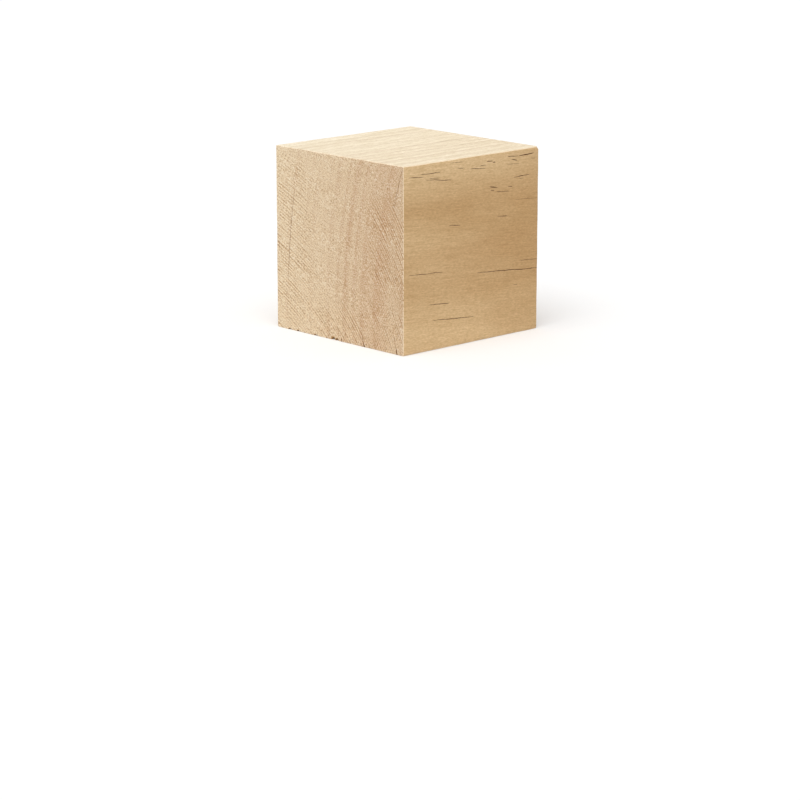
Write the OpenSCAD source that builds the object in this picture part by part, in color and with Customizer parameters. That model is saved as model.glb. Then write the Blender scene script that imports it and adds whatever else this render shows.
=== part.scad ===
// Plain softwood cube, crosscut from a planed square stick and left unfinished.
// The grain runs along X, so the two X faces are sawn end grain and the other four are planed.
// The saw left by the lower edge of the -X face, and tore and split the fibres there.
// The origin is the centre of the face that the cube rests on. +Z is up. Millimetres.

/* [Block] */
// Side of the cube
side = 50; // [25:1:100]
// Radius of the arrises, broken with a light pass of abrasive
arris_r = 0.4; // [0.2:0.1:1.5]

/* [Torn edge] */
// Width of the widest chip, along the torn edge
chip_w = 1.8; // [0.6:0.1:4]
// Height of the tallest chip, up the sawn face
chip_h = 1.2; // [0.4:0.1:3]
// Run of the longest chip, back along the grain
chip_run = 3; // [1:0.5:8]

/* [Splits] */
// Width of the widest split, where it opens at the torn edge
split_w = 0.45; // [0.2:0.05:1]
// Height of the tallest split, up the sawn face
split_h = 4; // [1:0.5:10]
// Depth of the deepest split, back along the grain
split_run = 3; // [1:0.5:8]
// Lean of the splits from upright, along the path of the saw teeth, in degrees
split_lean = 14; // [0:1:30]

/* [Bruised corner] */
// Setback of the bruise from the corner, along each arris
bruise = 1.1; // [0.4:0.1:3]

/* [Hidden] */
$fn = 48;

// How far a cutting solid stands out past the surface that it cuts
over = 1;

// Chips: place across the face as a share of the side from its middle, lean towards +Y in
// degrees, then width, height and run as shares of the largest chip's
CHIPS = [
    [0.40, 8, 0.75, 0.50, 0.55],
    [0.33, -12, 0.60, 0.60, 0.70],
    [0.275, 15, 0.30, 0.35, 0.40],
    [0.185, -6, 1.00, 0.40, 0.60],
    [0.10, 10, 0.45, 0.25, 0.35],
    [0.05, -4, 0.80, 1.00, 1.00],
    [0.018, 6, 0.70, 0.85, 0.80],
    [-0.07, -9, 0.40, 0.20, 0.30]
];

// Splits: place across the face as a share of the side from its middle,
// then lean, width, height and run as shares of the largest split's
SPLITS = [
    [-0.022, 1.1, 0.90, 0.45, 0.60],
    [-0.198, 1.0, 1.00, 0.80, 1.00],
    [-0.287, 1.2, 0.50, 0.40, 0.50],
    [-0.452, 1.0, 0.90, 1.00, 0.90]
];

// Outline of the planed stick, seen along any axis: a square with round corners
module rounded_square() {
    flat = side - 2 * arris_r;
    corner = side / 2 - arris_r;
    square([side, flat], center = true);
    square([flat, side], center = true);
    for (x = [-corner, corner], y = [-corner, corner])
        translate([x, y]) circle(r = arris_r);
}

// The stick's outline run through the cube's own length, centred on the origin
module rounded_prism() {
    linear_extrude(height = side, center = true) rounded_square();
}

// The sound block, every arris eased: what three crossed prisms have in common
module sound_block() {
    translate([0, 0, side / 2])
        intersection() {
            rounded_prism();
            rotate([90, 0, 0]) rounded_prism();
            rotate([0, 90, 0]) rounded_prism();
        }
}

// Puts a cutter on the torn edge, at a share of the side from the middle of the face.
// There its own +X runs into the grain and its +Z runs up the sawn face, leaning towards +Y.
module on_torn_edge(place, lean) {
    translate([-side / 2, place * side, 0]) rotate([-lean, 0, 0]) children();
}

// A chip, seen from the side: steep where the tooth lifted the fibres, then feathering out
// along the grain
module chip(w, h, run) {
    knee_run = 0.35 * run;
    knee_h = 0.55 * h;
    rotate([90, 0, 0])
        linear_extrude(height = w, center = true)
            polygon([
                [-over, -over],
                [-over, h],
                [0, h],
                [knee_run, knee_h],
                [run, 0],
                [run, -over]
            ]);
}

// A split: a thin wedge that closes up the face and into the grain
module split(w, h, run) {
    intersection() {
        rotate([90, 0, 90])
            translate([0, 0, -over])
                linear_extrude(height = run + over)
                    polygon([[-w / 2, -over], [w / 2, -over], [w / 2, 0], [0, h], [-w / 2, 0]]);
        translate([0, 0, -over])
            linear_extrude(height = h + over)
                polygon([[-over, -w / 2], [0, -w / 2], [run, 0], [0, w / 2], [-over, w / 2]]);
    }
}

// All that the saw tore out as it left the wood
module tear_out() {
    for (c = CHIPS)
        on_torn_edge(c[0], c[1]) chip(c[2] * chip_w, c[3] * chip_h, c[4] * chip_run);
    for (s = SPLITS)
        on_torn_edge(s[0], s[1] * split_lean) split(s[2] * split_w, s[3] * split_h, s[4] * split_run);
}

// The knock that flattened the upper corner at +X, -Y: a flat square to the corner's diagonal
module corner_bruise() {
    cutter = 4 * bruise;
    to_diagonal = acos(1 / sqrt(3));
    setback = bruise / sqrt(3);
    translate([side / 2, -side / 2, side])
        rotate([0, to_diagonal, -45])
            translate([0, 0, cutter / 2 - setback])
                cube(cutter, center = true);
}

module wooden_cube() {
    color("burlywood")
        difference() {
            sound_block();
            tear_out();
            corner_bruise();
        }
}

wooden_cube();
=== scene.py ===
# %% [markdown]
# # A bare pine cube
# This lesson dresses one small block of softwood: a cube crosscut from a planed square stick,
# with nothing on it but what the machines left. There is no paint to hide behind, so the look
# comes from three things: the way the growth rings run through the solid wood, the way each
# face was cut, and the small damage that cutting does to an edge.
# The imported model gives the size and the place, and everything here is built around it. Shapes
# are worked out in millimetres, which suit a thing this small, and become metres at the end.

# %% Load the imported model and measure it
import math
import random

import bmesh
import bpy
from mathutils import Matrix, Vector, noise


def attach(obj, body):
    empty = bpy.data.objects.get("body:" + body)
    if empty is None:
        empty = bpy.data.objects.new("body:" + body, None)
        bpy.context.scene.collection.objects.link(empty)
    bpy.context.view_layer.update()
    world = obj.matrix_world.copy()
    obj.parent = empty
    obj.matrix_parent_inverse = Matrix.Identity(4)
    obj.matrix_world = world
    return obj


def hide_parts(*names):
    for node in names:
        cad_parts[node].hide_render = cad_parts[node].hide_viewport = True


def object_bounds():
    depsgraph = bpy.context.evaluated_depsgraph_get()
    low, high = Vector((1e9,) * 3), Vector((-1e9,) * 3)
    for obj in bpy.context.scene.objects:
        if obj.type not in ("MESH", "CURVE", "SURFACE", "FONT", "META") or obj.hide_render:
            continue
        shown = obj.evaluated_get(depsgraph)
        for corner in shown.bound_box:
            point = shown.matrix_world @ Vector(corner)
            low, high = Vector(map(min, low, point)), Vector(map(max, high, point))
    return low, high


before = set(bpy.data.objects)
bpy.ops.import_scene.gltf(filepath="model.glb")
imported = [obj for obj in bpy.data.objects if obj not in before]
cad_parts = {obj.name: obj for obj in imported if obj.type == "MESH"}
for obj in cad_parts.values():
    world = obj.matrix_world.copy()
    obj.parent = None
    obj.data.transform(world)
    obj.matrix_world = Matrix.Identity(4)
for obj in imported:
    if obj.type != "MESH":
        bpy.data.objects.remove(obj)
cad_low, cad_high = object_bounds()
MM = 0.001
SIDE = (cad_high.z - cad_low.z) / MM
HALF = SIDE / 2
print(f"The cube is {SIDE:.2f} mm on a side; its nodes are {sorted(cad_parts)}")

# %% [markdown]
# ## The camera
# A long lens from 0.8 m away keeps the upright edges nearly parallel, as they are to the eye on
# a small thing at arm's length. The camera looks down by 14 degrees and is turned 43 degrees
# from +Y, so an upright edge is nearest, with sawn end grain to its left and a planed face to its
# right. It is aimed below the block, which leaves the block high in the frame.

# %% Place the camera
LENS_MM = 129.5
SENSOR_MM = 36.0
HEADING = math.radians(43.25)
PITCH = math.radians(13.97)
DISTANCE = 808.4 * MM
AIM = Vector((11.3, 14.8, -25.0)) * MM

looking = Vector((
    math.sin(HEADING) * math.cos(PITCH),
    math.cos(HEADING) * math.cos(PITCH),
    -math.sin(PITCH),
))
camera = bpy.data.objects.new("camera", bpy.data.cameras.new("camera"))
camera.data.lens = LENS_MM
camera.data.sensor_width = SENSOR_MM
camera.location = AIM - looking * DISTANCE
camera.rotation_euler = looking.to_track_quat("-Z", "Y").to_euler()
bpy.context.scene.collection.objects.link(camera)
bpy.context.scene.camera = camera
bpy.context.scene.view_settings.view_transform = "Standard"
print(f"The camera stands {camera.location.z / MM:.0f} mm above the floor")

# %% [markdown]
# ## Helpers for colours, nodes and materials
# Colours are easiest to choose as the sRGB hex values of a paint chart, but the renderer works
# in linear light, so one function turns them over. A second one adds a node, sets its
# properties, and fills or links its inputs in one call: materials then read from top to bottom.
# A third starts a material with an empty node tree, because every finish here is built whole.

# %% Write the three helpers
def linear(hex_colour):
    """A '#rrggbb' sRGB colour as linear red, green, blue and alpha."""
    channels = [int(hex_colour[i:i + 2], 16) / 255 for i in (1, 3, 5)]
    curve = [c / 12.92 if c <= 0.04045 else ((c + 0.055) / 1.055) ** 2.4 for c in channels]
    return (*curve, 1.0)


def add(tree, kind, inputs=None, **settings):
    """Adds a node of a kind, with its settings, and each input given a value or a link."""
    node = tree.nodes.new(kind)
    for name, value in settings.items():
        setattr(node, name, value)
    for socket, value in (inputs or {}).items():
        if isinstance(value, bpy.types.NodeSocket):
            tree.links.new(value, node.inputs[socket])
        else:
            node.inputs[socket].default_value = value
    return node


def new_material(name):
    """A material with an empty node tree, and that tree."""
    material = bpy.data.materials.new(name)
    material.use_nodes = True
    material.node_tree.nodes.clear()
    return material, material.node_tree


print("Mid grey is", round(linear("#808080")[0], 3), "in linear light")

# %% [markdown]
# ## Soft light and a white floor
# A studio for a pale object is mostly white surroundings, which fill every face, and one broad
# light from the upper left that puts the top, the left and the right face in that order of
# brightness. An area lamp would fade across the floor. A sun lamp with a wide angle is as soft
# and stays even. The strengths are chosen so that a colour renders about as it is written: a
# surface that faces up gets 1.

# %% Make the white surroundings and the broad light
# How bright the surroundings are, where 1 is white
AMBIENT = 0.56
# How bright the lamp is, the way that it shines from, and how wide it looks from the block
KEY_STRENGTH = 0.50 * math.pi
KEY_FROM = Vector((-0.40, -0.19, 0.90))
KEY_SOFTNESS = math.radians(50)


def seen_directly(tree):
    """1 for rays that the camera, a mirror or a glass sends, and 0 for rays that carry light."""
    ray = add(tree, "ShaderNodeLightPath")
    seen = ray.outputs["Is Camera Ray"]
    for kind in ("Is Glossy Ray", "Is Transmission Ray"):
        either = add(tree, "ShaderNodeMath", {0: seen, 1: ray.outputs[kind]}, operation="MAXIMUM")
        seen = either.outputs[0]
    return seen


world = bpy.data.worlds.new("white_studio")
world.use_nodes = True
sky = world.node_tree
sky.nodes.clear()
strength = add(sky, "ShaderNodeMapRange", {
    "Value": seen_directly(sky), "To Min": AMBIENT, "To Max": 1.0})
background = add(sky, "ShaderNodeBackground", {
    "Color": linear("#ffffff"), "Strength": strength.outputs[0]})
add(sky, "ShaderNodeOutputWorld", {"Surface": background.outputs[0]})
bpy.context.scene.world = world

key = bpy.data.objects.new("key", bpy.data.lights.new("key", "SUN"))
key.data.energy = KEY_STRENGTH
key.data.angle = KEY_SOFTNESS
key.rotation_euler = (-KEY_FROM).to_track_quat("-Z", "Y").to_euler()
bpy.context.scene.collection.objects.link(key)
upright = KEY_FROM.normalized().z
print(f"A surface that faces up gets about {AMBIENT + KEY_STRENGTH / math.pi * upright:.2f}")

# %% [markdown]
# ## The paper that the block stands on
# The floor is a wide sheet of matt white paper, the usual ground for a small product. Paper is
# not a perfect white, so a little emission lifts it, but only for the camera, mirrors and
# glass: it lights nothing, and the sheet keeps the soft shadow of the block.

# %% Lay the paper
# How wide the sheet is, in metres, and how much brighter it looks than it is
PAPER_SIZE = 6.0
PAPER_LIFT = 0.2

# Uncoated white paper: matt, so a plain diffuse surface is all that the eye gets from it
paper, sheet = new_material("matt_white_paper")
lift = add(sheet, "ShaderNodeMath", {0: seen_directly(sheet), 1: PAPER_LIFT}, operation="MULTIPLY")
matt = add(sheet, "ShaderNodeBsdfDiffuse", {"Color": linear("#ebebeb")})
glow = add(sheet, "ShaderNodeEmission", {
    "Color": linear("#ffffff"), "Strength": lift.outputs[0]})
both = add(sheet, "ShaderNodeAddShader", {0: matt.outputs[0], 1: glow.outputs[0]})
add(sheet, "ShaderNodeOutputMaterial", {"Surface": both.outputs[0]})

floor_shape = bmesh.new()
bmesh.ops.create_grid(floor_shape, x_segments=1, y_segments=1, size=PAPER_SIZE / 2)
floor_mesh = bpy.data.meshes.new("floor")
floor_shape.to_mesh(floor_mesh)
floor_shape.free()
floor_mesh.materials.append(paper)
floor = bpy.data.objects.new("floor", floor_mesh)
bpy.context.scene.collection.objects.link(floor)
print(f"The paper is {PAPER_SIZE:.0f} m wide")

# %% [markdown]
# ## How the rings run through the block
# Wood is a solid pattern, so its figure is worked out in space and not painted face by face.
# The rings are cylinders round the pith, the centre of the tree, which lay about 145 mm to one
# side of this block. So the end grain shows nearly upright bands, the top shows fine stripes,
# because the rings cross it squarely, and the two faces that lie along a ring show broad clouds.
# A wave texture would space the rings evenly, which no tree does. A colour ramp along the
# distance from the pith takes each year's own width instead: the wood darkens slowly towards
# the end of a summer and turns pale at once in the next spring.
# A node group holds the figure, and every finish below reads the same one.

# %% Name the pith, the grain and the rings
# Where the pith lies, in mm from the middle of the block's foot
PITH_Y = -144.4
PITH_Z = 5.6
# The fibres dip by this much towards +X, and turn by this much, seen from above
GRAIN_DIP = math.radians(4.4)
GRAIN_YAW = math.radians(-1.35)
# Distance from the pith, in mm, where each year's dark latewood ends, and how dark it grew
RINGS = [
    (121.6, 0.50), (124.5, 0.25), (127.6, 0.35), (131.4, 0.70), (136.5, 0.80),
    (139.6, 0.80), (142.9, 0.85), (146.1, 0.80), (149.9, 0.85), (152.8, 0.45),
    (157.1, 0.60), (159.8, 0.60), (162.8, 0.50), (166.2, 0.85), (170.0, 0.65),
]
# The ramps run from one of these distances to the other, in mm
RING_FROM, RING_TO = 118.0, 176.0
# At the end of a year the wood turns pale within this many mm
LATEWOOD_ENDS_OVER = 0.7
# Distance and darkness along two broad bands of denser wood, which only the sawn ends show
DENSE_BANDS = [
    (125.0, 0.0), (129.6, 0.55), (133.0, 0.42), (137.5, 0.2), (142.2, 0.1), (143.5, 0.5),
    (144.3, 0.0),
]

figure = bpy.data.node_groups.new("pine_figure", "ShaderNodeTree")
for name in ("Latewood", "Dense", "Streak", "Fleck", "Fibre", "Cloud", "Ray", "HeartAndShade", "Sheen"):
    figure.interface.new_socket(name, in_out="OUTPUT", socket_type="NodeSocketFloat")
widths = [outer[0] - inner[0] for inner, outer in zip(RINGS, RINGS[1:])]
print(f"The years of growth are {min(widths):.1f} to {max(widths):.1f} mm wide")

# %% Turn the grain into line and let it wander
# Real rings stray a millimetre or two from a circle, slowly, and far more slowly along the stem
DRIFT_SCALE = (0.005, 0.045, 0.045)
DRIFT_MM = 1.8
place = add(figure, "ShaderNodeTexCoord")
grain = add(figure, "ShaderNodeMapping", {
    "Vector": place.outputs["Object"], "Rotation": (0, -GRAIN_DIP, GRAIN_YAW),
    "Scale": (1 / MM, 1 / MM, 1 / MM)})
slow = add(figure, "ShaderNodeVectorMath", {
    0: grain.outputs[0], 1: DRIFT_SCALE}, operation="MULTIPLY")
drift = add(figure, "ShaderNodeTexNoise", {
    "Vector": slow.outputs[0], "Scale": 1.0, "Detail": 3.0, "Roughness": 0.5})
centred = add(figure, "ShaderNodeVectorMath", {
    0: drift.outputs["Color"], 1: (0.5, 0.5, 0.5)}, operation="SUBTRACT")
wander = add(figure, "ShaderNodeVectorMath", {
    0: centred.outputs[0], 1: (0.0, DRIFT_MM, DRIFT_MM)}, operation="MULTIPLY")
wandering = add(figure, "ShaderNodeVectorMath", {
    0: grain.outputs[0], 1: wander.outputs[0]}, operation="ADD")
print(f"The drift repeats about every {1 / DRIFT_SCALE[1]:.0f} mm across the grain")

# %% Measure the distance from the pith
from_pith = add(figure, "ShaderNodeVectorMath", {
    0: wandering.outputs[0], 1: (0.0, PITH_Y, PITH_Z)}, operation="SUBTRACT")
across = add(figure, "ShaderNodeVectorMath", {
    0: from_pith.outputs[0], 1: (0.0, 1.0, 1.0)}, operation="MULTIPLY")
radius = add(figure, "ShaderNodeVectorMath", {0: across.outputs[0]}, operation="LENGTH")
along_ramp = add(figure, "ShaderNodeMapRange", {
    "Value": radius.outputs["Value"], "From Min": RING_FROM, "From Max": RING_TO})
print(f"The block lies {-PITH_Y - HALF:.0f} to {-PITH_Y + HALF:.0f} mm from the pith")

# %% Draw the rings and the dense bands on two ramps
def ramp(points, interpolation="LINEAR"):
    """A colour ramp along the distance from the pith, from a list of distances and darknesses."""
    node = add(figure, "ShaderNodeValToRGB", {"Fac": along_ramp.outputs[0]})
    node.color_ramp.interpolation = interpolation
    stops = node.color_ramp.elements
    stops[0].position = stops[1].position = 0.0
    stops[0].color = stops[1].color = (0, 0, 0, 1)
    for distance, darkness in points:
        stop = stops.new((distance - RING_FROM) / (RING_TO - RING_FROM))
        stop.color = (darkness, darkness, darkness, 1)
    return node.outputs["Color"]


years = []
for ring_radius, darkness in RINGS:
    years += [(ring_radius, darkness), (ring_radius + LATEWOOD_ENDS_OVER, 0.0)]
# A power keeps the spring wood pale for longer, as the real curve of growth does
SPRING_POWER = 1.5
latewood = add(figure, "ShaderNodeMath", {0: ramp(years), 1: SPRING_POWER}, operation="POWER")
dense = ramp(DENSE_BANDS, "EASE")
print(f"{len(RINGS)} years of growth cross the block")

# %% [markdown]
# ## Fibres, clouds and rays
# Between the rings, pine is made of hollow fibres along the grain, 0.03 to 0.05 mm wide and a
# few millimetres long. That is too fine to show, so bundles of them are drawn, as coarse as
# they need to be: streaks 0.7 mm wide and 25 mm long, flecks 0.3 by 0.9 mm, and fine fibres
# 0.17 by 7 mm. Each is a noise drawn out along the grain, so it is a line on a planed side and
# a dot on a sawn end, which is also how the real ones show.
# Rays are thin sheets of cells from the pith outwards. They are 0.02 mm thick, and bundles of
# 0.4 mm are drawn. A noise over the angle round the pith makes them, and a sawn end shows them.

# %% Draw the fibres and the clouds
GRAIN_NOISES = {
    # name: cycles per mm along the grain, cycles per mm across it, detail, roughness
    "Streak": (0.04, 1.5, 4.0, 0.6),
    "Fleck": (1.1, 3.3, 4.0, 0.62),
    "Fibre": (0.15, 6.0, 2.0, 0.6),
    "Cloud": (0.03, 0.11, 2.0, 0.5),
}
noises = {}
for name, (lengthwise, crosswise, detail, roughness) in GRAIN_NOISES.items():
    drawn_out = add(figure, "ShaderNodeVectorMath", {
        0: grain.outputs[0], 1: (lengthwise, crosswise, crosswise)}, operation="MULTIPLY")
    noises[name] = add(figure, "ShaderNodeTexNoise", {
        "Vector": drawn_out.outputs[0], "Scale": 1.0, "Detail": detail, "Roughness": roughness})
    print(f"{name}: {1 / crosswise:.2f} mm wide, {1 / lengthwise:.1f} mm long")

# %% Draw the rays
# Cycles of the noise per mm, round the pith and outwards from it
RAYS_PER_MM = 2.6
RAY_CYCLES_OUTWARDS = 0.16
parts = add(figure, "ShaderNodeSeparateXYZ", {0: across.outputs[0]})
angle = add(figure, "ShaderNodeMath", {
    0: parts.outputs["Z"], 1: parts.outputs["Y"]}, operation="ARCTAN2")
round_pith = add(figure, "ShaderNodeMath", {
    0: angle.outputs[0], 1: -PITH_Y * RAYS_PER_MM}, operation="MULTIPLY")
outwards = add(figure, "ShaderNodeMath", {
    0: radius.outputs["Value"], 1: RAY_CYCLES_OUTWARDS}, operation="MULTIPLY")
sheet_place = add(figure, "ShaderNodeCombineXYZ", {
    0: outwards.outputs[0], 1: round_pith.outputs[0], 2: 0.0})
rays = add(figure, "ShaderNodeTexNoise", {
    "Vector": sheet_place.outputs[0], "Scale": 1.0, "Detail": 2.0, "Roughness": 0.6})
print(f"The rays are {1 / RAYS_PER_MM:.2f} mm apart and {1 / RAY_CYCLES_OUTWARDS:.0f} mm long")

# %% [markdown]
# ## Sapwood, heartwood, painted sheen and painted shade
# Sapwood, the living outer wood, is paler than heartwood, and the heart of the tree lies
# towards -Y. The change is slow, so one value that grows across the block is enough. The same
# value also carries painted light: a painted sheen makes the wood paler towards +Y, and a
# painted shade makes it darker towards +X. The stick is also painted paler along its upper and
# lower edges, a painted sheen of the bright surroundings.

# %% Shade the block from sapwood to heartwood, with painted sheen and shade, and give out the figure
# How much the wood ages, and darkens as painted shade, with each mm along X, Y and Z, and the
# values of sapwood with its painted sheen and of heartwood with its painted shade
TOWARDS_HEART_AND_SHADE = (0.003, -0.012, 0.0)
SAPWOOD_AND_SHEEN_AGE, HEARTWOOD_AND_SHADE_AGE = -0.4, 0.6
# How high the darkest wood lies, and how far above and below it the painted sheen starts and
# ends
DARKEST_HEIGHT = 27.0
PALE_FROM, PALE_TO = 8.0, 28.0
towards_heart_and_shade = add(figure, "ShaderNodeVectorMath", {
    0: grain.outputs[0], 1: TOWARDS_HEART_AND_SHADE}, operation="DOT_PRODUCT")
heart_and_shade = add(figure, "ShaderNodeMapRange", {
    "Value": towards_heart_and_shade.outputs["Value"], "From Min": SAPWOOD_AND_SHEEN_AGE,
    "From Max": HEARTWOOD_AND_SHADE_AGE})
# A painted sheen of the bright surroundings: the wood is paler towards the top and the bottom
xyz = add(figure, "ShaderNodeSeparateXYZ", {0: place.outputs["Object"]})
off_middle = add(figure, "ShaderNodeMath", {
    0: xyz.outputs["Z"], 1: DARKEST_HEIGHT * MM}, operation="SUBTRACT")
off_middle = add(figure, "ShaderNodeMath", {0: off_middle.outputs[0]}, operation="ABSOLUTE")
edge = add(figure, "ShaderNodeMapRange", {
    "Value": off_middle.outputs[0], "From Min": PALE_FROM * MM, "From Max": PALE_TO * MM},
    interpolation_type="SMOOTHSTEP")
add(figure, "NodeGroupOutput", {
    "Latewood": latewood.outputs[0], "Dense": dense,
    **{name: node.outputs["Fac"] for name, node in noises.items()},
    "Ray": rays.outputs["Fac"], "HeartAndShade": heart_and_shade.outputs[0], "Sheen": edge.outputs[0]})
print("The figure gives", ", ".join(item.name for item in figure.interface.items_tree))

# %% [markdown]
# ## Planed faces
# A planer's knives leave pine smooth and dry, with a low sheen and fine lines along the grain.
# One function serves both kinds of planed face, because they differ only in how the rings
# meet them: flat-sawn faces lie along a ring, so they show the darker wood in broad clouds,
# and quarter-sawn faces cross the rings, so they show them as crisp fine stripes on pale wood.
# A brightness noise over one colour would look painted. Cut fibres scatter white light, so here
# a light streak gains more blue than red, and stays as neutral as the real one.

# %% Write the planed finish
PLANED_ROUGHNESS = 0.55
PINE_IOR = 1.5
# How high the fibres stand, in mm
FIBRE_RELIEF = 0.01
# How much red, green and blue gain where the fibres scatter more light
SCATTER = (0.8, 1.0, 1.45)
# Nearly all of a noise lies between these values
NOISE_LOW, NOISE_HIGH = 0.3, 0.7
# How far the clouds move the age of the wood, how much painted shade darkens it at the +X end,
# and how much of the painted sheen along the upper and lower edges is left there
CLOUD_SWING = 0.22
SHADE_AT_FAR_END = 0.2
SHEEN_AT_FAR_END = 0.82


def planed_pine(
        name, sap_and_sheen, heart_and_shade, late, ring_power, ring_share, streaks, flecks, fibres, sheen_share):
    """Planed pine. The shares say how strongly each part of the figure shows."""
    material, tree = new_material(name)
    wood = add(tree, "ShaderNodeGroup", node_tree=figure)
    # How dark the wood is at this place, from sapwood with painted sheen at 0 to heartwood with
    # painted shade at 1
    patch = add(tree, "ShaderNodeMapRange", {
        "Value": wood.outputs["Cloud"], "From Min": NOISE_LOW, "From Max": NOISE_HIGH,
        "To Min": -CLOUD_SWING, "To Max": CLOUD_SWING})
    darkening = add(tree, "ShaderNodeMath", {
        0: wood.outputs["HeartAndShade"], 1: patch.outputs[0]}, operation="ADD")
    place = add(tree, "ShaderNodeTexCoord")
    xyz = add(tree, "ShaderNodeSeparateXYZ", {0: place.outputs["Object"]})
    # Painted shade: the wood darkens towards the +X end
    along = add(tree, "ShaderNodeMapRange", {
        "Value": xyz.outputs["X"], "From Min": -HALF * MM, "From Max": HALF * MM,
        "To Min": 0.0, "To Max": SHADE_AT_FAR_END})
    darkening = add(tree, "ShaderNodeMath", {
        0: darkening.outputs[0], 1: along.outputs[0]}, operation="ADD")
    # The painted sheen along the upper and lower edges makes the wood paler, less so towards +X
    sheen_strength = add(tree, "ShaderNodeMapRange", {
        "Value": xyz.outputs["X"], "From Min": 0.0, "From Max": HALF * MM,
        "To Min": sheen_share, "To Max": SHEEN_AT_FAR_END * sheen_share})
    edge = add(tree, "ShaderNodeMath", {
        0: wood.outputs["Sheen"], 1: sheen_strength.outputs[0]}, operation="MULTIPLY")
    darkening = add(tree, "ShaderNodeMath", {
        0: darkening.outputs[0], 1: edge.outputs[0]}, operation="SUBTRACT", use_clamp=True)
    base = add(tree, "ShaderNodeMix", {
        "Factor": darkening.outputs[0], "A": linear(sap_and_sheen), "B": linear(heart_and_shade)}, data_type="RGBA")
    # The dark end of each ring. A higher power draws it as a thinner line
    band = add(tree, "ShaderNodeMath", {
        0: wood.outputs["Latewood"], 1: ring_power}, operation="POWER")
    ring = add(tree, "ShaderNodeMath", {
        0: band.outputs[0], 1: ring_share}, operation="MULTIPLY", use_clamp=True)
    ringed = add(tree, "ShaderNodeMix", {
        "Factor": ring.outputs[0], "A": base.outputs["Result"], "B": linear(late)},
        data_type="RGBA")
    # Light and dark lines along the grain
    lines = 1.0
    for part, share in (("Streak", streaks), ("Fleck", flecks), ("Fibre", fibres)):
        shade = add(tree, "ShaderNodeMapRange", {
            "Value": wood.outputs[part], "From Min": NOISE_LOW, "From Max": NOISE_HIGH,
            "To Min": 1 - share, "To Max": 1 + share})
        lines = add(tree, "ShaderNodeMath", {
            0: shade.outputs[0], 1: lines}, operation="MULTIPLY").outputs[0]
    scattered = add(tree, "ShaderNodeVectorMath", {
        0: lines, 1: SCATTER, 2: [1 - share for share in SCATTER]}, operation="MULTIPLY_ADD")
    colour = add(tree, "ShaderNodeVectorMath", {
        0: ringed.outputs["Result"], 1: scattered.outputs[0]}, operation="MULTIPLY")
    bump = add(tree, "ShaderNodeBump", {
        "Height": wood.outputs["Fibre"], "Strength": 1.0, "Distance": FIBRE_RELIEF * MM})
    surface = add(tree, "ShaderNodeBsdfPrincipled", {
        "Base Color": colour.outputs[0], "Roughness": PLANED_ROUGHNESS, "IOR": PINE_IOR,
        "Normal": bump.outputs[0]})
    add(tree, "ShaderNodeOutputMaterial", {"Surface": surface.outputs[0]})
    return material


print(f"A planed face takes its lines from fibres {FIBRE_RELIEF * 1000:.0f} micrometres high")

# %% Make the planed finishes
# Pine planed along its rings: warm tan, clouded, with soft edges to every mark
flat_sawn = planed_pine(
    "planed_flat_sawn_pine", sap_and_sheen="#e4c290", heart_and_shade="#c69d67", late="#bd8c58", ring_power=1.0,
    ring_share=0.32, streaks=0.045, flecks=0.17, fibres=0.10, sheen_share=0.85)
# Pine planed across its rings: the palest of the faces, with a fine brown line for each year
quarter_sawn = planed_pine(
    "planed_quarter_sawn_pine", sap_and_sheen="#f3e3c5", heart_and_shade="#f1dfbf", late="#bd9562", ring_power=1.5,
    ring_share=0.54, streaks=0.17, flecks=0.14, fibres=0.12, sheen_share=0.0)
# Pine rubbed with a bit of abrasive along the arrises: fine dust in the fibres makes it paler,
# and the pale strip is also a painted highlight along each arris
rubbed_and_highlit = planed_pine(
    "highlit_rubbed_arris_pine", sap_and_sheen="#fceacf", heart_and_shade="#fbe5c5", late="#e8c9a0", ring_power=1.0,
    ring_share=0.5, streaks=0.05, flecks=0.08, fibres=0.05, sheen_share=0.0)
print("Planed finishes:", flat_sawn.name, quarter_sawn.name, rubbed_and_highlit.name)

# %% [markdown]
# ## Sawn ends
# A crosscut leaves the fibres cut square across and furred. Each open end scatters light on its
# own, so the face is pale, matt and grainy. The colour follows the depth of the cut: low places
# are brown and tops almost white. In the saw's grooves the brown is partly dust and partly
# painted shade, and on the ridges between them the paler colour is a painted highlight. That
# could be baked from the mesh. Here the saw marks lie at a known depth under the face, so the
# material reads it straight from the X coordinate, and takes the finer grain from the same
# flecks as its bump.

# %% Write the sawn finish
# The face lies this far under the end of the stick, and a groove this much deeper shows its
# full tone of dust and painted shade, in mm
SAWN_DOWN = 0.07
GROOVE_DEPTH = 0.14
SAWN_ROUGHNESS = 0.8
# How high the fur stands, in mm
FURRED_RELIEF = 0.15
# Clouds let the rings show between these shares, and sapwood with its painted sheen this share
# of what heartwood shows
RINGS_THROUGH_FUR = (0.2, 0.65)
RINGS_IN_SAPWOOD_AND_SHEEN = 0.3
# How far the rays move the tone of a place
RAY_SWING = 0.16
# The tones of a pit, of plain wood and of a top, and how much of its colour a pit or a top takes
PIT_TONE, PLAIN_TONE, TOP_TONE = 0.315, 0.50, 0.665
PIT_SHARE, TOP_SHARE = 0.75, 0.7


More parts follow.
